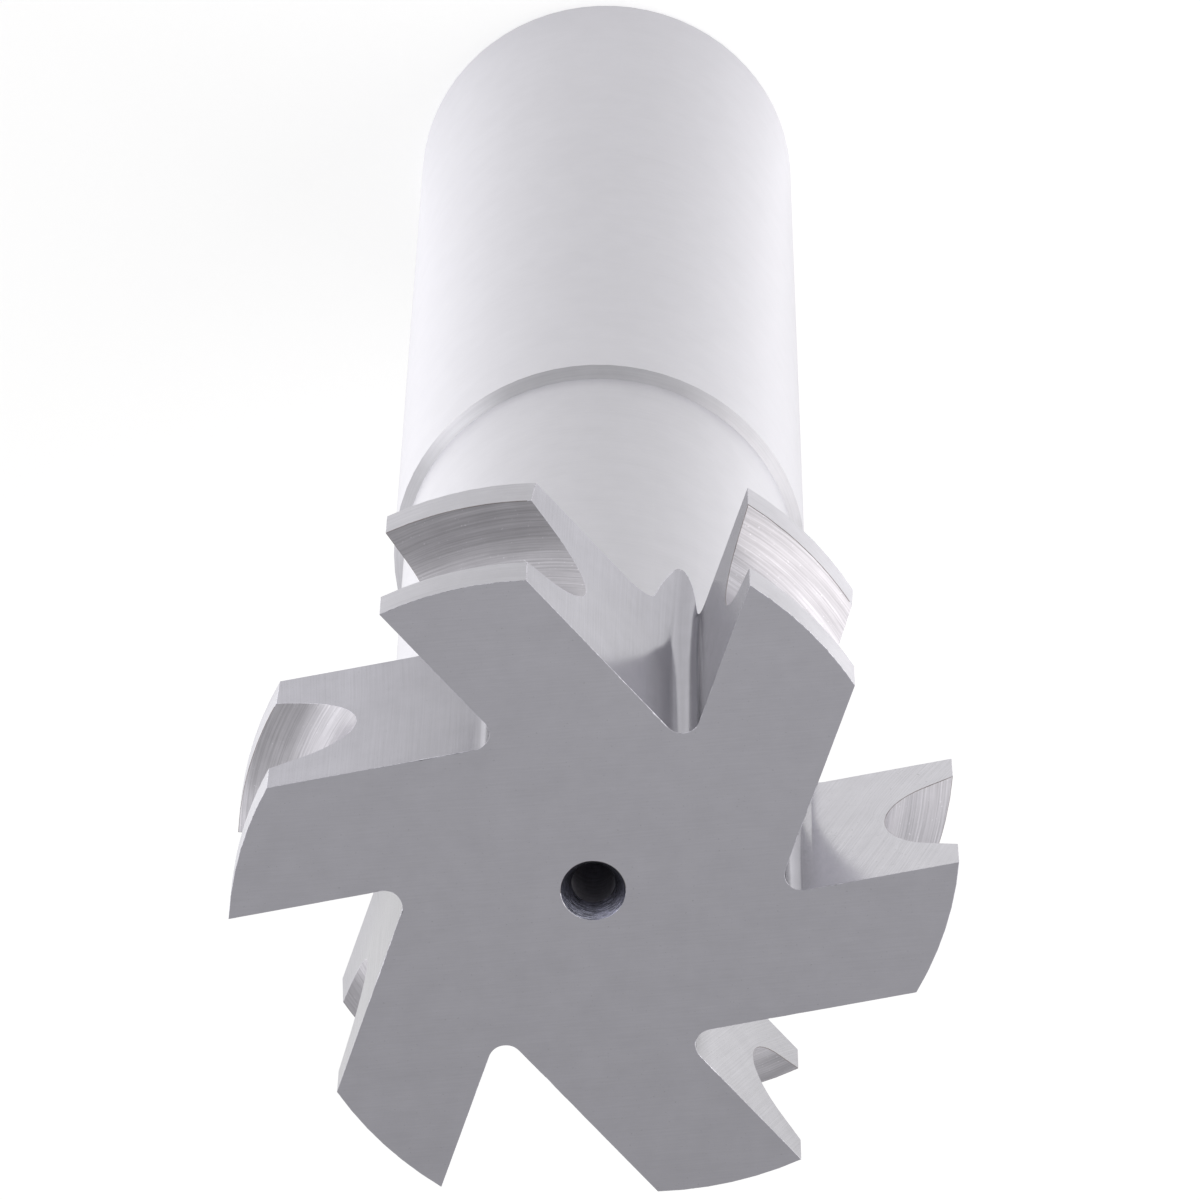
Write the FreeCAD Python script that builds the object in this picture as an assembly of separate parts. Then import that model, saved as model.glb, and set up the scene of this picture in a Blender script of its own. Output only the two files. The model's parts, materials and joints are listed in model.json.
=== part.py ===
"""Concave milling cutter: a shank-type form cutter ground from one piece of steel.

The tool stands on the flat end of its shank with its axis along +Z. The origin is the
centre of that end face, and the toothed head is at the top. The head carries straight
teeth with a half-round hollow in each land, which mills a half-round ridge. One tooth
has its cutting edge on the +X axis, and each tooth leads counter-clockwise seen from
the front face. Lengths are in millimetres and angles in degrees.
"""

import FreeCAD, Part
import math
import os

# Shank and neck
overall_length = 86.9
shank_diameter = 19.05
shank_end_chamfer = 0.5
neck_diameter = 18.07
shoulder_from_front = 36.46
head_fillet_radius = 1.0

# Head and teeth
cutting_diameter = 31.12
tooth_count = 6
land_width = 1.87
land_angle = 24.1
land_relief_drop = 0.99
rake_angle = 6.4

# Half-round form in the lands
form_radius = 3.175
form_flare_angle = 27.0
form_centre_offset = 0.2
form_relief_drop = 0.75

# Gullets, ground by a bevelled wheel whose flat side makes the rake face
gullet_angle = 60.0
gullet_corner_radius = 0.75
gullet_wheel_radius = 50.0
gullet_wheel_stop = 6.1

# Centre holes, on which the tool is turned and ground
front_centre_mouth_diameter = 2.778
front_pilot_diameter = 1.85
front_pilot_depth = 7.0
rear_centre_mouth_diameter = 6.0
rear_pilot_diameter = 2.778
rear_pilot_depth = 2.8
centre_angle = 60.0
drill_point_angle = 118.0

# Allowances for the solids that are cut away
cut_clearance = 5.0
sector_lead_angle = 2.0
wheel_sweep_angle = 60.0

# Sizes that follow from the ones above
shank_radius = shank_diameter / 2
neck_radius = neck_diameter / 2
tip_radius = cutting_diameter / 2
heel_radius = tip_radius - land_relief_drop
tooth_pitch = 360.0 / tooth_count
shoulder_height = abs(shank_radius - neck_radius)
flare_cos = math.cos(math.radians(form_flare_angle))
flare_sin = math.sin(math.radians(form_flare_angle))
form_mouth_half = (form_radius - form_centre_offset * flare_sin) / flare_cos
head_length = 2 * (form_mouth_half + land_width)
front_z = overall_length
rear_z = front_z - head_length
shoulder_z = front_z - shoulder_from_front


def point(x, y, z=0.0):
    return FreeCAD.Vector(x, y, z)


def polar(radius, angle, z=0.0):
    turn = math.radians(angle)
    return point(radius * math.cos(turn), radius * math.sin(turn), z)


def line(start, end):
    return Part.LineSegment(start, end).toShape()


def arc(start, middle, end):
    return Part.Arc(start, middle, end).toShape()


def polyline(points):
    return [line(start, end) for start, end in zip(points, points[1:])]


def turned(edges, axis_point=point(0, 0)):
    """Turn a closed outline about a vertical axis."""
    return Part.Face(Part.Wire(edges)).revolve(axis_point, point(0, 0, 1), 360)


def shank_and_neck():
    """The shank, its shoulder and the slimmer neck, up to the head's rear face."""
    fillet_low = point(neck_radius, 0, rear_z - head_fillet_radius)
    fillet_top = point(neck_radius + head_fillet_radius, 0, rear_z)
    bulge = head_fillet_radius * (1 - math.sqrt(0.5))
    fillet_middle = point(neck_radius + bulge, 0, rear_z - bulge)
    outline = polyline([
        point(0, 0, rear_z),
        point(0, 0, 0),
        point(shank_radius - shank_end_chamfer, 0, 0),
        point(shank_radius, 0, shank_end_chamfer),
        point(shank_radius, 0, shoulder_z),
        point(neck_radius, 0, shoulder_z + shoulder_height),
        fillet_low,
    ])
    outline.append(arc(fillet_low, fillet_middle, fillet_top))
    outline.append(line(fillet_top, point(0, 0, rear_z)))
    return turned(outline)


def relief_axis(drop):
    """A turning axis beside the tool's own, which makes the first tooth fall away.

    A round turned about it passes through the cutting edge, and has lost the given
    drop in radius, measured from the tool's axis, where the land ends.
    """
    half_land = math.radians(land_angle / 2)
    offset = drop / (2 * math.sin(half_land))
    return point(offset * math.sin(half_land), offset * math.cos(half_land))


def edge_radius(axis_point):
    """How far the first tooth's cutting edge is from a relief axis."""
    return (polar(tip_radius, 0) - axis_point).Length


def land_round():
    """The round whose side becomes the first tooth's land."""
    axis_point = relief_axis(land_relief_drop)
    base = point(axis_point.x, axis_point.y, rear_z)
    return Part.makeCylinder(edge_radius(axis_point), head_length, base)


def form_ring():
    """The ring that leaves the half-round hollow in the first tooth.

    Its section is an arc whose ends run out tangentially into straight flares, so
    the hollow's mouth is a little wider than the form's own diameter.
    """
    axis_point = relief_axis(form_relief_drop)
    form_x = axis_point.x + edge_radius(axis_point) + form_centre_offset
    middle_z = (front_z + rear_z) / 2
    joint_x = form_x - form_radius * flare_sin
    joint_rise = form_radius * flare_cos
    outer_x = form_x + form_radius
    outer_rise = joint_rise + (outer_x - joint_x) * flare_sin / flare_cos

    def place(x, rise):
        return point(x, axis_point.y, middle_z + rise)

    outline = [arc(place(joint_x, -joint_rise), place(form_x - form_radius, 0), place(joint_x, joint_rise))]
    outline += polyline([
        place(joint_x, joint_rise),
        place(outer_x, outer_rise),
        place(outer_x, -outer_rise),
        place(joint_x, -joint_rise),
    ])
    return turned(outline, axis_point)


def tooth_sector():
    """The slice of the head that holds the first tooth, before its gullets are cut."""
    reach = (tip_radius + cut_clearance) / math.cos(math.radians(tooth_pitch / 2))
    wedge = polyline([
        point(0, 0, rear_z),
        polar(reach, sector_lead_angle - tooth_pitch, rear_z),
        polar(reach, sector_lead_angle, rear_z),
        point(0, 0, rear_z),
    ])
    slice_space = Part.Face(Part.Wire(wedge)).extrude(point(0, 0, head_length))
    return land_round().common(slice_space).cut(form_ring())


def gullet_corner():
    """Where the first tooth's rake face would meet the back of the tooth ahead of it."""
    tip = polar(tip_radius, 0)
    heel = polar(heel_radius, tooth_pitch - land_angle)
    rake_way = polar(1, rake_angle)
    back_way = polar(1, rake_angle + gullet_angle)
    gap = tip - heel
    rake_run = (gap.x * back_way.y - gap.y * back_way.x) / math.sin(math.radians(gullet_angle))
    return tip - rake_way * rake_run


def gullet_section(z):
    """The gullet's V with its rounded corner, closed well outside the head."""
    corner = gullet_corner()
    corner.z = z
    rake_way = polar(1, rake_angle)
    back_way = polar(1, rake_angle + gullet_angle)
    middle_way = polar(1, rake_angle + gullet_angle / 2)
    half_angle = math.radians(gullet_angle / 2)
    tangent_run = gullet_corner_radius / math.tan(half_angle)
    to_centre = gullet_corner_radius / math.sin(half_angle)
    rake_start = corner + rake_way * tangent_run
    back_start = corner + back_way * tangent_run
    nearest = corner + middle_way * (to_centre - gullet_corner_radius)
    outer_run = tip_radius + cut_clearance
    rake_end = corner + rake_way * outer_run
    back_end = corner + back_way * outer_run
    edges = [arc(rake_start, nearest, back_start)]
    edges += polyline([back_start, back_end, rake_end, rake_start])
    return Part.Face(Part.Wire(edges))


def gullet():
    """What one pass of the wheel removes: straight through the head, then out of the neck.

    The wheel stands flat against the rake face. Its axis comes to rest above the head,
    and behind that place its rim leaves a root that climbs to the neck's surface.
    """
    stop_z = front_z - gullet_wheel_stop
    section = gullet_section(stop_z)
    straight = section.extrude(point(0, 0, gullet_wheel_stop + cut_clearance))
    rake_way = polar(1, rake_angle)
    wheel_centre = gullet_corner() + rake_way * gullet_wheel_radius
    wheel_centre.z = stop_z
    wheel_axis = polar(1, rake_angle - 90)
    run_out = section.revolve(wheel_centre, wheel_axis, wheel_sweep_angle)
    return straight.fuse(run_out).removeSplitter()


def centre_hole(mouth_diameter, pilot_diameter, pilot_depth, face_z, inward):
    """A countersunk centre with its pilot, which ends in the cone that the drill leaves.

    Inward is 1 where the hole goes up from its face, and -1 where it goes down.
    """
    mouth_radius = mouth_diameter / 2
    pilot_radius = pilot_diameter / 2
    slope = math.tan(math.radians(centre_angle / 2))
    cone_depth = (mouth_radius - pilot_radius) / slope
    pilot_end = cone_depth + pilot_depth
    point_length = pilot_radius / math.tan(math.radians(drill_point_angle / 2))
    outline = [
        (0, -cut_clearance),
        (mouth_radius + cut_clearance * slope, -cut_clearance),
        (pilot_radius, cone_depth),
        (pilot_radius, pilot_end),
        (0, pilot_end + point_length),
        (0, -cut_clearance),
    ]
    return turned(polyline([point(x, 0, face_z + inward * depth) for x, depth in outline]))


def front_centre():
    return centre_hole(
        front_centre_mouth_diameter, front_pilot_diameter, front_pilot_depth, front_z, -1
    )


def rear_centre():
    return centre_hole(rear_centre_mouth_diameter, rear_pilot_diameter, rear_pilot_depth, 0, 1)


def around_axis(shape):
    """Copies of a shape, one for each tooth, turned about the tool's axis."""
    copies = []
    for number in range(tooth_count):
        copy = shape.copy()
        copy.rotate(point(0, 0), point(0, 0, 1), number * tooth_pitch)
        copies.append(copy)
    return copies


def cutter():
    blank = shank_and_neck().multiFuse(around_axis(tooth_sector())).removeSplitter()
    cuts = around_axis(gullet()) + [front_centre(), rear_centre()]
    return blank.cut(cuts).removeSplitter()


os.makedirs("parts", exist_ok=True)
solid = cutter().Solids[0]
solid.exportStep("parts/cutter.step")
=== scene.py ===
import json
import math

import bmesh
import bpy
from mathutils import Matrix, Quaternion, Vector, noise
from mathutils.bvhtree import BVHTree
from mathutils.geometry import barycentric_transform


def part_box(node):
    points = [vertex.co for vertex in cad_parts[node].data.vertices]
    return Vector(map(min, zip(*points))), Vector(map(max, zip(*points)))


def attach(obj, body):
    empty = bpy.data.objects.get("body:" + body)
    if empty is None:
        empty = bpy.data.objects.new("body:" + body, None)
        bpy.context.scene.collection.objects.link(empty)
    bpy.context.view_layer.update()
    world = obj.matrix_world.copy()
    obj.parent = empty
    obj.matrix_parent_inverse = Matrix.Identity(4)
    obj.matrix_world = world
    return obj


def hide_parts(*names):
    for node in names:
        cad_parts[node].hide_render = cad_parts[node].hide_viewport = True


# The looks of a one-piece milling cutter: its ground surfaces, broken edges and studio.
# The frame is in metres. The tool stands on its shank's end with the toothed head on top.

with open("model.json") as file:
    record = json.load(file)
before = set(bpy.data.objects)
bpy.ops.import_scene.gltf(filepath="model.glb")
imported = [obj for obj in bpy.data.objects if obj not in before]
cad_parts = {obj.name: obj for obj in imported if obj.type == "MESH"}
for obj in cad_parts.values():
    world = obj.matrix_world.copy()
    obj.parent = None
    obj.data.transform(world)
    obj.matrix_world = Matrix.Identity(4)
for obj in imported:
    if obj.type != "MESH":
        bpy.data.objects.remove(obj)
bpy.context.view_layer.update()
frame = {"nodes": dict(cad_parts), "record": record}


MM = 0.001
MICROMETRE = 1e-6
TINY = 1e-9
NODE = "cutter"
WHITE = (1.0, 1.0, 1.0)

# Places on the tool, from the frame
_, box_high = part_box(NODE)
shank_mount = next(m for m in frame["record"]["mounts"] if m["name"] == "shank")
FRONT_Z = box_high.z
TIP_RADIUS = box_high.x
SHANK_RADIUS = shank_mount["dims"]["r_mm"] * MM
SHANK_TOP_Z = shank_mount["pos_m"][2] + shank_mount["dims"]["length_mm"] * MM / 2

# The head's form
TOOTH_COUNT = 6
TOOTH_PITCH = 2 * math.pi / TOOTH_COUNT
HEAD_LENGTH = 10.662 * MM
REAR_Z = FRONT_Z - HEAD_LENGTH
LAND_ANGLE = math.radians(24.1)
RAKE_ANGLE = math.radians(6.4)

# The hollow in each land, which is turned about an axis beside the tool's own
FORM_Z = FRONT_Z - HEAD_LENGTH / 2
FORM_RADIUS = 3.175 * MM
FORM_MOUTH_HALF = 3.461 * MM
FORM_AXIS = Vector((0.375, 1.757)) * MM
FORM_CENTRE_REACH = 15.486 * MM

# The gullets and the wheel that ground them
GULLET_ANGLE = math.radians(60)
GULLET_CORNER = Vector((7.684, -0.883)) * MM
GULLET_ROOT = 0.75 * MM
WHEEL_RADIUS = 50 * MM
WHEEL_STOP = 6.1 * MM

# How far the surfaces reach, with a little to spare
NEAR = 0.2 * MM
GULLET_NEAR = 0.03 * MM
NECK_REACH = 10.1 * MM
HEEL_REACH = 14.3 * MM
HOLE_REACH = 1.45 * MM
COUNTERSINK_DEPTH = 0.81 * MM
SHOULDER_HEIGHT = 0.49 * MM
REAR_CENTRE_REACH = 3.02 * MM
REAR_CENTRE_DEPTH = 7.0 * MM
SHANK_END_REACH = 0.6 * MM

# Cosines between a face's normal and a direction, for telling which way the face looks.
# SIDEWAYS is the most that is allowed, and the others are the least.
SQUARE_ON = 0.99
BACK_SQUARE_ON = 0.96
OUTWARD = 0.9
DOWNWARD = 0.5
SIDEWAYS = 0.02

ZONES = (
    "front", "rear", "land", "hollow", "rake", "back", "root", "neck",
    "shoulder", "shank", "end", "countersink", "pilot", "centre", "edge", "dark_lined",
)
TURNED = ("neck", "shank")
WHEEL_GROUND = ("rake", "back", "root")

# The grinding lines: how they lean on the rake faces, and the millimetres by which
# each tooth's are shifted, so that no two teeth look alike
RAKE_GRIND_TILT = math.radians(20)
TOOTH_SHIFT = 37.0

# Broken edges: the full break, how finely it varies, and which edges count as sharp
EDGE_BREAK = 0.05 * MM
EDGE_STEP = 0.2 * MM
EDGE_PATCH = 0.5 * MM
EDGE_SEGMENTS = 2
SHARP_ANGLE = math.radians(25)
FLAT_ANGLE = math.radians(0.3)
WELD = 1e-7

# The share of the full break at the least worn spots, and what the most worn ones add.
# The power keeps the wear beside the roots and round the front hole to a few spots.
WEAR_POWER = 3
ROOT_EDGE_WEAR = (0.2, 1.9)
HOLLOW_BACK_WEAR = (0.1, 0.15)
HOLLOW_WEAR = (0.35, 0.35)
COUNTERSINK_WEAR = (0.1, 0.8)
INNER_WEAR = (0.18, 0.14)
OUTER_WEAR = (0.35, 0.25)

# The radii between which the extra wear beside the roots fades, and what stays of it
ROOT_WORN = 9.5 * MM
ROOT_KEPT = 12.0 * MM
ROOT_WEAR_LEAST = 0.1

# How far behind its middle a hollow's edge starts to be drawn as a dark brown line
DARK_LINE_FROM = 2.5 * MM

# Noise: its scales per metre, its detail, and the values between which it counts
MOTTLE_SCALE = 700.0
SPECK_SCALE = 9000.0
LINE_DETAIL = {"Detail": 4.0, "Roughness": 0.65}
MOTTLE_DETAIL = {"Detail": 5.0, "Roughness": 0.6}
STREAK_DETAIL = {"Detail": 2.0}
SPECK_DETAIL = {"Detail": 1.0}
NOISE_RANGE = (0.3, 0.7)
STREAK_RANGE = (0.35, 0.65)
SPECK_RANGE = (0.70, 0.78)

# Broad streaks in the hollows: their strength, and their scale as a share of the lines' own
STREAKS = 0.05
STREAK_REACH_SHARE = 0.5
STREAK_PITCH_SHARE = 0.2

# The strength of specks, the most that roughness varies by, and a quarter of a full turn
SPECK_STRENGTH = 0.5
UNEVEN_MOST = 0.05
QUARTER_TURN = 0.25

# Painted light and shade, as tones that change over a surface. A painted fade, lighter on
# one side of the tool and darker on the other, runs along Y from the place given to the tips'
# radius. A gullet wall is painted darker near the axis, as shade in the gullet's corner: by
# the factor given within the radius set below, and clear from the radius given. The
# countersink is painted darker towards its bottom, as shade deep in the hole.
PAINTED_LIGHT_FADES = {"front": (-TIP_RADIUS, 1.07, 0.93), "rake": (0.0, 1.0, 0.72)}
ROOT_SHADE_WITHIN = 8.4 * MM
ROOT_PAINTED_SHADE = {"back": (12.0 * MM, 0.82), "rake": (9.8 * MM, 0.72)}
COUNTERSINK_PAINTED_SHADE = 0.34

# Tints of the steel
COOL = (0.98, 0.967, 1.053)
PLAIN = (0.985, 0.975, 1.03)
PINK = (0.995, 0.97, 1.035)
BLUE = (0.94, 0.95, 1.12)
WARM = (1.07, 0.965, 0.975)

# The camera, where the photograph was taken from
CAMERA_PLACE = Vector((-16.35, -152.65, 413.41)) * MM
CAMERA_TARGET = Vector((-1.485, -13.335, 86.9)) * MM
CAMERA_ROLL = math.radians(-178.95)
SENSOR = 36.0
FOCAL_LENGTH = 255.14
CLIP_START = 0.01
CLIP_END = 50.0

# The floor: as the camera sees it, as the steel mirrors it, and as it lights the rest
FLOOR_HALF = 12.0
FLOOR_PALE = 0.85
FLOOR_GLOW = 0.68
FLOOR_SHADE = 0.50
MIRRORED_SIDES = 0.84
MIRRORED_FRONT = 0.35
MIRRORED_BEHIND = 0.47
MIRRORED_LEAN = 0.10
MIRRORED_SHADE = 0.7

# The room: its light at the horizon and overhead, in front (near) and behind (far), and
# how far along Y each changes from the one to the other
HORIZON_TOP = 0.06
HORIZON_NEAR = 0.95
HORIZON_FAR = 0.42
HORIZON_SIDES = 0.4
OVERHEAD_FROM = 0.62
OVERHEAD_NEAR = 0.35
OVERHEAD_FAR = 0.44
ROOM_NEAR_Y = -0.7
OVERHEAD_FAR_Y = 0.3
HORIZON_FAR_Y = 0.7
LAMP_DISTANCE = 0.6


class Spot:
    """Where a face lies on the tool, and which way it faces."""

    def __init__(self, place, normal):
        self.place = place
        self.normal = normal
        self.radius = math.hypot(place.x, place.y)
        self.angle = math.atan2(place.y, place.x)
        across = max(self.radius, TINY)
        self.outward = (normal.x * place.x + normal.y * place.y) / across
        self.turning = (normal.y * place.x - normal.x * place.y) / across


class WheelPlace:
    """A point in the frame of the wheel that ground the nearest gullet.

    Run is how far it lies out from the gullet's corner along the rake face, beside is how
    far it stands off that face, and along is how far it lies along the wheel's path.
    """

    def __init__(self, spot, place):
        self.number = round((spot.angle - TOOTH_PITCH / 4) / TOOTH_PITCH)
        turn = self.number * TOOTH_PITCH + RAKE_ANGLE
        out_way = Vector((math.cos(turn), math.sin(turn)))
        side_way = Vector((-math.sin(turn), math.cos(turn)))
        corner = GULLET_CORNER.copy()
        corner.rotate(Matrix.Rotation(self.number * TOOTH_PITCH, 2))
        from_corner = Vector((place.x, place.y)) - corner
        to_axis = WHEEL_RADIUS - from_corner.dot(out_way)
        stop_z = FRONT_Z - WHEEL_STOP
        below = max(0.0, stop_z - place.z)
        far = math.hypot(to_axis, below)
        self.beside = from_corner.dot(side_way)
        self.run = WHEEL_RADIUS - far
        self.along = max(place.z, stop_z) - WHEEL_RADIUS * math.atan2(below, to_axis)
        self.run_way = Vector((out_way.x * to_axis, out_way.y * to_axis, below)) / far
        self.side_way = Vector((side_way.x, side_way.y, 0.0))

    def back_share(self, normal):
        """How squarely a normal stands on the bevelled side of the wheel's cut."""
        sine, cosine = math.sin(GULLET_ANGLE), math.cos(GULLET_ANGLE)
        return normal.dot(self.run_way * sine - self.side_way * cosine)

    def off_back(self):
        """How far the point stands off the bevelled side of the wheel's cut."""
        return self.run * math.sin(GULLET_ANGLE) - self.beside * math.cos(GULLET_ANGLE)

    def from_root_centre(self):
        """How far the point is from the centre of the gullet's rounded corner."""
        centre_run = GULLET_ROOT / math.tan(GULLET_ANGLE / 2)
        return math.hypot(self.run - centre_run, self.beside - GULLET_ROOT)


def zone_of(spot):
    """The name of the ground surface that a face belongs to."""
    place, normal = spot.place, spot.normal
    in_rear_centre = place.z < REAR_CENTRE_DEPTH and spot.radius < REAR_CENTRE_REACH
    if in_rear_centre and normal.z > -SQUARE_ON:
        return "centre"
    if place.z < SHANK_END_REACH and normal.z < -DOWNWARD:
        return "end"
    if place.z < SHANK_TOP_Z:
        return "shank"
    if place.z < SHANK_TOP_Z + SHOULDER_HEIGHT:
        return "shoulder"
    return head_zone(spot)


def head_zone(spot):
    """The name of the surface, for a face above the shoulder."""
    place, normal = spot.place, spot.normal
    if spot.radius < HOLE_REACH and normal.z < SQUARE_ON:
        return "countersink" if place.z > FRONT_Z - COUNTERSINK_DEPTH else "pilot"
    if normal.z > SQUARE_ON and place.z > FRONT_Z - NEAR:
        return "front"
    if normal.z < -SQUARE_ON and abs(place.z - REAR_Z) < NEAR:
        return "rear"
    if spot.outward > OUTWARD and spot.radius > HEEL_REACH and abs(normal.z) < SIDEWAYS:
        return "land"
    in_neck = spot.radius < NECK_REACH and place.z < REAR_Z + NEAR
    if in_neck and abs(spot.turning) < SIDEWAYS:
        return "neck"
    wheel = WheelPlace(spot, place)
    if abs(wheel.beside) < GULLET_NEAR and normal.dot(wheel.side_way) > SQUARE_ON:
        return "rake"
    if abs(wheel.off_back()) < GULLET_NEAR and wheel.back_share(normal) > BACK_SQUARE_ON:
        return "back"
    if wheel.from_root_centre() < GULLET_ROOT + GULLET_NEAR:
        return "root"
    return "hollow"


def hollow_grain(place, angle, tooth):
    """How far round and across its hollow a point lies, in millimetres."""
    axis = FORM_AXIS.copy()
    axis.rotate(Matrix.Rotation(tooth * TOOTH_PITCH, 2))
    from_axis = Vector((place.x, place.y)) - axis
    slope = math.atan2(place.z - FORM_Z, FORM_CENTRE_REACH - from_axis.length)
    return angle * TIP_RADIUS / MM, slope * FORM_RADIUS / MM


def grain_place(zone, spot, place):
    """Where a point lies along and across its surface's grinding lines, in millimetres."""
    turn = (math.atan2(place.y, place.x) - spot.angle + math.pi) % (2 * math.pi) - math.pi
    angle = spot.angle + turn
    tooth = round((spot.angle + LAND_ANGLE / 2) / TOOTH_PITCH)
    shift = TOOTH_SHIFT * tooth
    if zone in ("neck", "shank", "shoulder"):
        return (angle * SHANK_RADIUS / MM, place.z / MM)
    if zone == "land":
        return (angle * TIP_RADIUS / MM, place.z / MM + shift)
    if zone == "hollow":
        along, across = hollow_grain(place, angle, tooth)
        return (along, across + shift)
    if zone == "rake":
        wheel = WheelPlace(spot, place)
        lines = Vector((wheel.along, -wheel.run)) / MM
        lines.rotate(Matrix.Rotation(-RAKE_GRIND_TILT, 2))
        return (lines.x, lines.y + TOOTH_SHIFT * wheel.number)
    if zone in ("back", "root"):
        wheel = WheelPlace(spot, place)
        across = (wheel.beside + wheel.run) / MM
        return (wheel.along / MM, across + TOOTH_SHIFT * wheel.number)
    if zone in ("countersink", "pilot", "centre"):
        return (angle * HOLE_REACH / MM, place.z / MM)
    return (place.x / MM, place.y / MM)


def split_long_edges(edges, step):
    """Adds points along edges, so that their break can vary."""
    for edge in edges:
        count = int(edge.calc_length() / step)
        for number in range(count, 0, -1):
            share = number / (number + 1)
            edge, _ = bmesh.utils.edge_split(edge, edge.verts[0], share)


def edge_wear(edge):
    """The share of the full break that an edge has.

    It varies along each edge, and is largest where the gullets' roots meet the front.
    """
    middle = (edge.verts[0].co + edge.verts[1].co) / 2
    patchy = 0.5 + 0.5 * noise.noise(middle / EDGE_PATCH)
    zones = {ZONES[face.material_index] for face in edge.link_faces}
    if zones <= {"shank", "shoulder", "neck"} or zones == {"countersink", "pilot"}:
        return 0.0
    if "front" in zones and zones & {"back", "rake", "root"}:
        least, more = ROOT_EDGE_WEAR
        out = (math.hypot(middle.x, middle.y) - ROOT_WORN) / (ROOT_KEPT - ROOT_WORN)
        near_root = min(1.0, max(ROOT_WEAR_LEAST, 1 - out))
        return least + more * patchy ** WEAR_POWER * near_root
    if "countersink" in zones:
        least, more = COUNTERSINK_WEAR
        return least + more * patchy ** WEAR_POWER
    if zones == {"hollow", "back"}:
        least, more = HOLLOW_BACK_WEAR
    elif "hollow" in zones:
        least, more = HOLLOW_WEAR
    elif zones <= {"neck", "root", "back", "rear", "rake"}:
        least, more = INNER_WEAR
    else:
        least, more = OUTER_WEAR
    return least + more * patchy


def marked_mesh(source):
    """A copy of the node's mesh whose faces know their zones and grinding lines."""
    work = bmesh.new()
    work.from_mesh(source)
    bmesh.ops.remove_doubles(work, verts=work.verts, dist=WELD)
    bmesh.ops.dissolve_limit(
        work, angle_limit=FLAT_ANGLE, verts=work.verts, edges=work.edges, delimit={"NORMAL"}
    )
    work.normal_update()
    grain = work.loops.layers.uv.new("grain")
    for face in work.faces:
        spot = Spot(face.calc_center_median(), face.normal)
        zone = zone_of(spot)
        face.material_index = ZONES.index(zone)
        face.smooth = True
        for loop in face.loops:
            loop[grain].uv = grain_place(zone, spot, loop.vert.co)
    return work


def is_sharp(edge):
    return edge.is_manifold and edge.calc_face_angle() > SHARP_ANGLE


def break_edges(work):
    """Says how far each sharp edge is broken."""
    split_long_edges([edge for edge in work.edges if is_sharp(edge)], EDGE_STEP)
    weight = work.edges.layers.float.new("bevel_weight_edge")
    for edge in work.edges:
        if is_sharp(edge):
            edge[weight] = edge_wear(edge)


class TrueNormals:
    """The exact normals of the node's surfaces, zone by zone."""

    def __init__(self, source):
        self.places = [vertex.co.copy() for vertex in source.vertices]
        self.triangles = {zone: [] for zone in ZONES}
        normals = [item.vector.copy() for item in source.corner_normals]
        source.calc_loop_triangles()
        for triangle in source.loop_triangles:
            middle = sum((self.places[v] for v in triangle.vertices), Vector()) / 3
            zone = zone_of(Spot(middle, triangle.normal))
            own_normals = [normals[c] for c in triangle.loops]
            self.triangles[zone].append((tuple(triangle.vertices), own_normals))
        self.trees = {
            zone: BVHTree.FromPolygons(self.places, [vertices for vertices, _ in found])
            for zone, found in self.triangles.items()
            if found
        }

    def at(self, zone, place):
        """The normal of the zone's surface at the point of it that is nearest to a place."""
        near, _, number, _ = self.trees[zone].find_nearest(place)
        triangle, normals = self.triangles[zone][number]
        a, b, c = (self.places[v] for v in triangle)
        return barycentric_transform(near, a, b, c, *normals).normalized()


def normals_between(mesh, around):
    """Normals for the points inside the breaks, from those at the ends of their edges."""
    between = {}
    for edge in mesh.edges:
        for here, there in (edge.vertices, reversed(edge.vertices)):
            if here not in around and there in around:
                between.setdefault(here, Vector())
                between[here] += around[there].normalized()
    return between


def shade_exactly(mesh, true_normals):
    """Gives each corner its surface's exact normal, and turns it over the broken edges."""
    edge_zone = ZONES.index("edge")
    normals = [Vector((0, 0, 1))] * len(mesh.loops)
    around = {}
    for face in mesh.polygons:
        if face.material_index == edge_zone:
            continue
        zone = ZONES[face.material_index]
        for corner in face.loop_indices:
            vertex = mesh.loops[corner].vertex_index
            normals[corner] = true_normals.at(zone, mesh.vertices[vertex].co)
            around.setdefault(vertex, Vector())
            around[vertex] += normals[corner]
    around.update(normals_between(mesh, around))
    for face in mesh.polygons:
        if face.material_index == edge_zone:
            for corner in face.loop_indices:
                vertex = mesh.loops[corner].vertex_index
                normals[corner] = around.get(vertex, face.normal).normalized()
    mesh.normals_split_custom_set(normals)


def is_dark_lined(spot):
    """Whether a broken edge is one of those drawn as thin dark brown lines.

    These are half the front hole's rim, the hollows' edges on the rake faces, and their
    rear edges apart from the back walls.
    """
    place = spot.place
    if spot.radius < HOLE_REACH:
        return place.y < 0
    above = place.z - FORM_Z
    if abs(above) > FORM_MOUTH_HALF + EDGE_BREAK:
        return False
    wheel = WheelPlace(spot, place)
    return abs(wheel.beside) < NEAR or (above < -DARK_LINE_FROM and abs(wheel.off_back()) > NEAR)


def with_edges_broken(body):
    """The body's mesh with its marked edges bevelled."""
    bevel = body.modifiers.new("broken_edges", "BEVEL")
    bevel.limit_method = "WEIGHT"
    bevel.width = EDGE_BREAK
    bevel.segments = EDGE_SEGMENTS
    bevel.material = ZONES.index("edge")
    bevel.use_clamp_overlap = False
    depsgraph = bpy.context.evaluated_depsgraph_get()
    evaluated = body.evaluated_get(depsgraph)
    mesh = bpy.data.meshes.new_from_object(evaluated, depsgraph=depsgraph)
    body.modifiers.clear()
    return mesh


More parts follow.
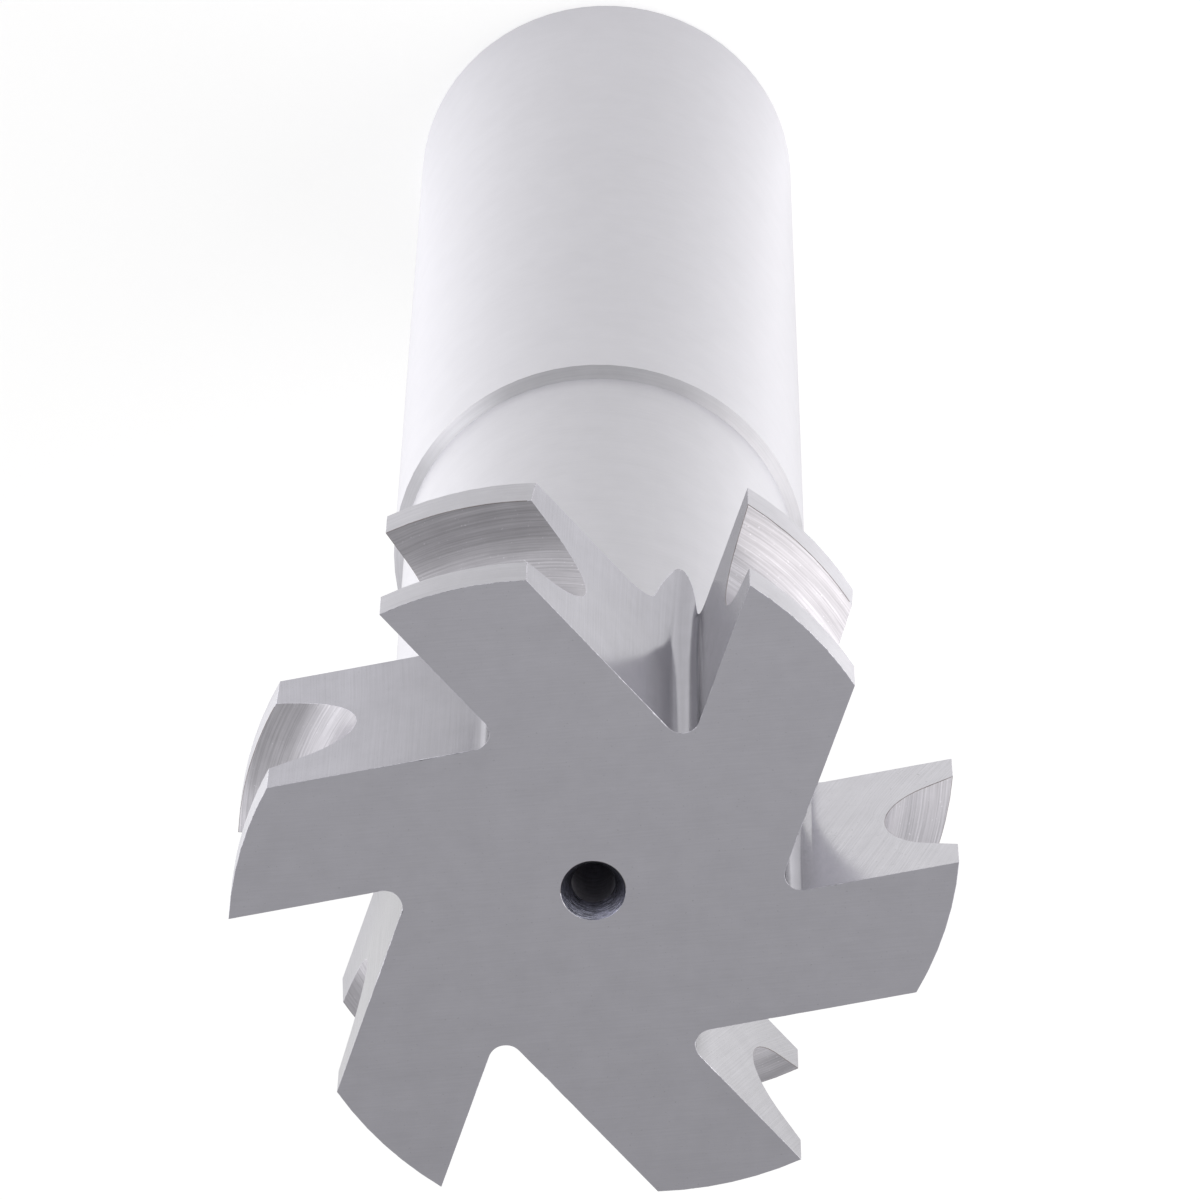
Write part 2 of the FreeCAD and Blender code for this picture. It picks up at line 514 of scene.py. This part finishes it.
def ground_body():
    """The tool's body with its edges broken as grinding leaves them."""
    source = frame["nodes"][NODE].data
    work = marked_mesh(source)
    break_edges(work)
    marked = bpy.data.meshes.new("marked")
    work.to_mesh(marked)
    work.free()
    body = bpy.data.objects.new("cutter_ground", marked)
    bpy.context.scene.collection.objects.link(body)
    for zone in ZONES:
        marked.materials.append(ground_steel(zone))
    mesh = with_edges_broken(body)
    mesh.name = "cutter_ground"
    body.data = mesh
    shade_exactly(mesh, TrueNormals(source))
    for face in mesh.polygons:
        if ZONES[face.material_index] == "edge" and is_dark_lined(Spot(face.center, face.normal)):
            face.material_index = ZONES.index("dark_lined")
    return body


def add_node(tree, kind, inputs=None, **settings):
    """A new shader node, with its inputs set to values or joined to other nodes' outputs."""
    made = tree.nodes.new("ShaderNode" + kind)
    for name, value in settings.items():
        setattr(made, name, value)
    for name, value in (inputs or {}).items():
        socket = made.inputs[name]
        if isinstance(value, bpy.types.NodeSocket):
            tree.links.new(value, socket)
        else:
            socket.default_value = value
    return made


def new_material(name):
    material = bpy.data.materials.new(name)
    material.use_nodes = True
    material.node_tree.nodes.clear()
    return material, material.node_tree


def stretched_noise(tree, coordinates, scale, detail):
    """Noise whose grain is drawn out by the three scales given."""
    mapping = add_node(tree, "Mapping", {"Vector": coordinates, "Scale": scale})
    settings = {"Vector": mapping.outputs["Vector"], "Scale": 1.0, **detail}
    return add_node(tree, "TexNoise", settings).outputs["Fac"]


def spread(tree, value, low, high, to_low, to_high):
    """Maps a range of values to another, and holds it there."""
    inputs = {"Value": value, "From Min": low, "From Max": high}
    inputs.update({"To Min": to_low, "To Max": to_high})
    return add_node(tree, "MapRange", inputs, clamp=True).outputs["Result"]


def calculate(tree, operation, first, second):
    return add_node(tree, "Math", {0: first, 1: second}, operation=operation).outputs[0]


def part_of(tree, vector, axis):
    """One of a vector's three parts."""
    return add_node(tree, "SeparateXYZ", {0: vector}).outputs[axis]


def length_of(tree, vector):
    return add_node(tree, "VectorMath", {0: vector}, operation="LENGTH").outputs["Value"]


class Finish:
    """How a ground surface looks.

    Tone and roughness are its own. The lines have a pitch and a reach in millimetres, a
    contrast, and a depth in micrometres. Drawn is how far they draw out a reflection, and
    mottle is how far the tone varies in patches. Specks are dark, or bright below zero.
    Glance is what is left of the reflection at a glancing angle.
    """

    def __init__(
        self, tone, roughness, drawn, pitch, reach, contrast, depth,
        mottle=0.04, specks=0.0, tint=COOL, glance=1.0
    ):
        self.tone = tone
        self.roughness = roughness
        self.drawn = drawn
        self.pitch = pitch
        self.reach = reach
        self.contrast = contrast
        self.depth = depth
        self.mottle = mottle
        self.specks = specks
        self.tint = tint
        self.glance = glance


# In each row: tone, roughness, drawn, pitch, reach, contrast, depth, and then mottle,
# specks, tint and glance where they differ from the usual
FINISHES = {
    "front": Finish(0.64, 0.36, 0.0, 0.09, 2.0, 0.04, 0.3, 0.03, 0.3),
    "rear": Finish(0.64, 0.36, 0.0, 0.09, 2.0, 0.06, 0.4),
    "land": Finish(0.70, 0.46, 0.85, 0.05, 5.0, 0.08, 0.5, tint=PLAIN),
    "hollow": Finish(0.64, 0.34, 0.7, 0.09, 6.0, 0.26, 1.6, 0.05, -0.6, PINK),
    "rake": Finish(0.79, 0.17, 0.2, 0.07, 9.0, 0.10, 0.6, 0.04, 0.5, PLAIN, 0.7),
    "back": Finish(0.56, 0.18, 0.2, 0.09, 8.0, 0.07, 0.5, 0.04, 0.3, COOL, 0.7),
    "root": Finish(0.50, 0.20, 0.2, 0.10, 8.0, 0.06, 0.5, 0.04, 0.0, COOL, 0.8),
    "neck": Finish(0.73, 0.36, 0.8, 0.06, 6.0, 0.02, 0.2, 0.02, tint=PLAIN),
    "shoulder": Finish(0.68, 0.44, 0.8, 0.08, 6.0, 0.06, 0.4, tint=PLAIN),
    "shank": Finish(0.78, 0.36, 0.8, 0.06, 9.0, 0.015, 0.1, 0.015, tint=PLAIN, glance=0.92),
    "end": Finish(0.66, 0.36, 0.6, 0.10, 8.0, 0.10, 0.6),
    "countersink": Finish(0.70, 0.26, 0.0, 0.06, 0.7, 0.90, 12.0, 0.10, tint=BLUE),
    "pilot": Finish(0.60, 0.50, 0.0, 0.12, 1.5, 0.20, 4.0, 0.10),
    "centre": Finish(0.55, 0.36, 0.5, 0.12, 2.0, 0.25, 2.0),
    "edge": Finish(0.78, 0.30, 0.0, 0.20, 0.2, 0.65, 0.0, 0.08),
    "dark_lined": Finish(0.26, 0.36, 0.0, 0.30, 0.3, 0.30, 0.0, 0.10, tint=WARM),
}


def line_noise(tree, zone, body, grain):
    """The fine lines that the wheel or the tool left, as values from 0 to 1."""
    finish = FINISHES[zone]
    pitch = 1 / (finish.pitch * MM)
    reach = 1 / (finish.reach * MM)
    if zone == "end":
        rings = add_node(tree, "CombineXYZ", {"X": length_of(tree, body)}).outputs["Vector"]
        return stretched_noise(tree, rings, (pitch, 1.0, 1.0), LINE_DETAIL)
    if zone in TURNED:
        return stretched_noise(tree, body, (reach, reach, pitch), LINE_DETAIL)
    scale = (1 / finish.reach, 1 / finish.pitch, 1.0)
    return stretched_noise(tree, grain, scale, LINE_DETAIL)


def uneven_tones(tree, zone, lines, body, grain):
    """The factors that make a zone's tone vary finely: lines, mottle, streaks and specks."""
    finish = FINISHES[zone]
    mottle = stretched_noise(tree, body, (MOTTLE_SCALE,) * 3, MOTTLE_DETAIL)
    factors = [
        spread(tree, lines, *NOISE_RANGE, 1 - finish.contrast, 1 + finish.contrast / 2),
        spread(tree, mottle, *NOISE_RANGE, 1 - finish.mottle, 1 + finish.mottle),
    ]
    if zone == "hollow":
        scale = (STREAK_REACH_SHARE / finish.reach, STREAK_PITCH_SHARE / finish.pitch, 1.0)
        streaks = stretched_noise(tree, grain, scale, STREAK_DETAIL)
        factors.append(spread(tree, streaks, *STREAK_RANGE, 1 - STREAKS, 1 + STREAKS))
    if finish.specks:
        fine = stretched_noise(tree, body, (SPECK_SCALE,) * 3, SPECK_DETAIL)
        speck_tone = 1 - SPECK_STRENGTH * finish.specks
        factors.append(spread(tree, fine, *SPECK_RANGE, 1.0, speck_tone))
    return factors


def painted_shading(tree, zone, body):
    """Painted light and shade: factors that change a zone's tone from place to place on the tool.
    """
    factors = []
    # Painted light and shade: the tone lighter towards one side of the tool, darker towards the
    # other.
    if zone in PAINTED_LIGHT_FADES:
        fade_from, first, last = PAINTED_LIGHT_FADES[zone]
        across = part_of(tree, body, "Y")
        factors.append(spread(tree, across, fade_from, TIP_RADIUS, first, last))
    # Painted shade: a gullet wall darker near the axis, in the gullet's corner.
    if zone in ROOT_PAINTED_SHADE:
        clear_from, shade_factor = ROOT_PAINTED_SHADE[zone]
        flat = add_node(tree, "VectorMath", {0: body, 1: (1.0, 1.0, 0.0)}, operation="MULTIPLY")
        from_axis = length_of(tree, flat.outputs[0])
        factors.append(spread(tree, from_axis, ROOT_SHADE_WITHIN, clear_from, shade_factor, 1.0))
    # Painted shade: the countersink darker towards its bottom, deep in the hole.
    if zone == "countersink":
        height = part_of(tree, body, "Z")
        bottom = FRONT_Z - COUNTERSINK_DEPTH
        factors.append(spread(tree, height, bottom, FRONT_Z, COUNTERSINK_PAINTED_SHADE, 1.0))
    return factors


def lines_way(tree, zone):
    """Which way a zone's lines run, for how they draw out a reflection."""
    if zone in WHEEL_GROUND:
        return add_node(tree, "CombineXYZ", {"Z": 1.0}).outputs["Vector"]
    return add_node(tree, "Tangent", direction_type="RADIAL", axis="Z").outputs["Tangent"]


def ground_steel(zone):
    """The zone's ground steel, with lines along the way that the wheel or tool ran."""
    finish = FINISHES[zone]
    material, tree = new_material("steel_" + zone)
    grain = add_node(tree, "UVMap", uv_map="grain").outputs["UV"]
    body = add_node(tree, "TexCoord").outputs["Object"]
    lines = line_noise(tree, zone, body, grain)
    tone, *factors = uneven_tones(tree, zone, lines, body, grain)
    # The tone also takes the painted light and shade that vary by place on the tool.
    for factor in factors + painted_shading(tree, zone, body) + [finish.tone]:
        tone = calculate(tree, "MULTIPLY", tone, factor)
    colour = add_node(tree, "VectorMath", {0: finish.tint, "Scale": tone}, operation="SCALE")
    uneven = min(UNEVEN_MOST, finish.contrast / 2)
    rougher, smoother = finish.roughness + uneven, finish.roughness - uneven
    shader_inputs = {
        "Base Color": colour.outputs["Vector"],
        "Metallic": 1.0,
        "Roughness": spread(tree, lines, *NOISE_RANGE, rougher, smoother),
        "Specular Tint": (finish.glance, finish.glance, finish.glance, 1.0),
    }
    if finish.depth:
        relief = {"Height": lines, "Distance": finish.depth * MICROMETRE, "Strength": 1.0}
        shader_inputs["Normal"] = add_node(tree, "Bump", relief).outputs["Normal"]
    if finish.drawn:
        shader_inputs["Tangent"] = lines_way(tree, zone)
        shader_inputs["Anisotropic"] = finish.drawn
        shader_inputs["Anisotropic Rotation"] = QUARTER_TURN
    shader = add_node(tree, "BsdfPrincipled", shader_inputs)
    add_node(tree, "OutputMaterial", {"Surface": shader.outputs["BSDF"]})
    return material


def add_camera():
    data = bpy.data.cameras.new("camera")
    data.sensor_width = SENSOR
    data.lens = FOCAL_LENGTH
    data.clip_start = CLIP_START
    data.clip_end = CLIP_END
    camera = bpy.data.objects.new("camera", data)
    camera.location = CAMERA_PLACE
    level = (CAMERA_TARGET - CAMERA_PLACE).to_track_quat("-Z", "Y")
    camera.rotation_mode = "QUATERNION"
    camera.rotation_quaternion = level @ Quaternion((0, 0, 1), CAMERA_ROLL)
    bpy.context.scene.collection.objects.link(camera)
    bpy.context.scene.camera = camera


def lit_floor(tree, glow, shade):
    """A floor that glows by itself and is lit by the studio, in the shares given."""
    shine = add_node(tree, "Emission", {"Color": (*WHITE, 1.0), "Strength": glow})
    lit = add_node(tree, "BsdfDiffuse", {"Color": (shade, shade, shade, 1.0)})
    return add_node(tree, "AddShader", {0: lit.outputs[0], 1: shine.outputs[0]}).outputs[0]


def mirrored_glow(tree):
    """How brightly the steel sees the floor glow, by the direction from the tool's axis."""
    place = add_node(tree, "TexCoord").outputs["Object"]
    way = add_node(tree, "VectorMath", {0: place}, operation="NORMALIZE").outputs["Vector"]
    parts = add_node(tree, "SeparateXYZ", {0: way}).outputs
    glow = spread(tree, parts["Y"], -1.0, 0.0, MIRRORED_FRONT, MIRRORED_SIDES)
    behind = spread(tree, parts["Y"], 0.0, 1.0, 0.0, MIRRORED_SIDES - MIRRORED_BEHIND)
    glow = calculate(tree, "SUBTRACT", glow, behind)
    lean = calculate(tree, "MULTIPLY", parts["X"], MIRRORED_LEAN)
    return calculate(tree, "ADD", glow, lean)


def floor_material():
    """A pale floor: white to the camera, and uneven where the steel mirrors it.

    There it is brighter beside the tool than in front of it or behind it.
    """
    material, tree = new_material("pale_floor")
    pale = (FLOOR_PALE, FLOOR_PALE, FLOOR_PALE, 1.0)
    plain = add_node(tree, "BsdfDiffuse", {"Color": pale}).outputs[0]
    rays = add_node(tree, "LightPath").outputs
    mirrored = lit_floor(tree, mirrored_glow(tree), MIRRORED_SHADE)
    choice = {0: rays["Is Glossy Ray"], 1: plain, 2: mirrored}
    surface = add_node(tree, "MixShader", choice).outputs[0]
    seen = calculate(tree, "MAXIMUM", rays["Is Camera Ray"], rays["Is Transmission Ray"])
    shown = lit_floor(tree, FLOOR_GLOW, FLOOR_SHADE)
    surface = add_node(tree, "MixShader", {0: seen, 1: surface, 2: shown}).outputs[0]
    add_node(tree, "OutputMaterial", {"Surface": surface})
    return material


def add_floor():
    mesh = bpy.data.meshes.new("floor")
    ends = (-FLOOR_HALF, FLOOR_HALF)
    points = [(x, y, 0.0) for y in ends for x in ends]
    mesh.from_pydata(points, [], [(0, 1, 3, 2)])
    mesh.materials.append(floor_material())
    floor = bpy.data.objects.new("floor", mesh)
    bpy.context.scene.collection.objects.link(floor)


def add_lamp(name, azimuth, elevation, half_angle, radiance, colour=WHITE):
    """A soft round lamp seen from the head in this direction, as wide and as bright as given."""
    turn, rise = math.radians(azimuth), math.radians(elevation)
    level = math.cos(rise)
    way = Vector((math.cos(turn) * level, math.sin(turn) * level, math.sin(rise)))
    size = 2 * LAMP_DISTANCE * math.tan(math.radians(half_angle))
    data = bpy.data.lights.new(name, "AREA")
    data.shape = "DISK"
    data.size = size
    data.energy = radiance * math.pi * math.pi * size * size / 4
    data.color = colour
    lamp = bpy.data.objects.new(name, data)
    lamp.location = Vector((0, 0, FORM_Z)) + way * LAMP_DISTANCE
    lamp.rotation_mode = "QUATERNION"
    lamp.rotation_quaternion = (-way).to_track_quat("-Z", "Y")
    lamp.visible_camera = False
    bpy.context.scene.collection.objects.link(lamp)


def add_world():
    """A room that is brightest low in front and to both sides, and greyer elsewhere."""
    world = bpy.data.worlds.new("studio")
    world.use_nodes = True
    tree = world.node_tree
    tree.nodes.clear()
    way = add_node(tree, "TexCoord").outputs["Generated"]
    parts = add_node(tree, "SeparateXYZ", {0: way}).outputs
    overhead = spread(
        tree, parts["Y"], ROOM_NEAR_Y, OVERHEAD_FAR_Y, OVERHEAD_NEAR, OVERHEAD_FAR
    )
    horizon = spread(tree, parts["Y"], ROOM_NEAR_Y, HORIZON_FAR_Y, HORIZON_NEAR, HORIZON_FAR)
    sideways = calculate(tree, "MULTIPLY", parts["X"], parts["X"])
    sides = calculate(tree, "MULTIPLY", sideways, HORIZON_SIDES)
    horizon = calculate(tree, "ADD", horizon, sides)
    strength = spread(tree, parts["Z"], HORIZON_TOP, OVERHEAD_FROM, horizon, overhead)
    light = add_node(tree, "Background", {"Color": (*WHITE, 1.0), "Strength": strength})
    add_node(tree, "OutputWorld", {"Surface": light.outputs[0]})
    bpy.context.scene.world = world


bpy.context.scene.view_settings.view_transform = "Standard"
add_camera()
add_floor()
add_world()
add_lamp("key", azimuth=178, elevation=42, half_angle=28, radiance=1.33, colour=(1.0, 0.975, 0.945))
add_lamp("fill", azimuth=-32, elevation=20, half_angle=15, radiance=1.6)
add_lamp("rim", azimuth=25, elevation=32, half_angle=9, radiance=1.3)
add_lamp("side", azimuth=138, elevation=28, half_angle=9, radiance=0.8)

body = ground_body()
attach(body, "root")
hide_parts(NODE)
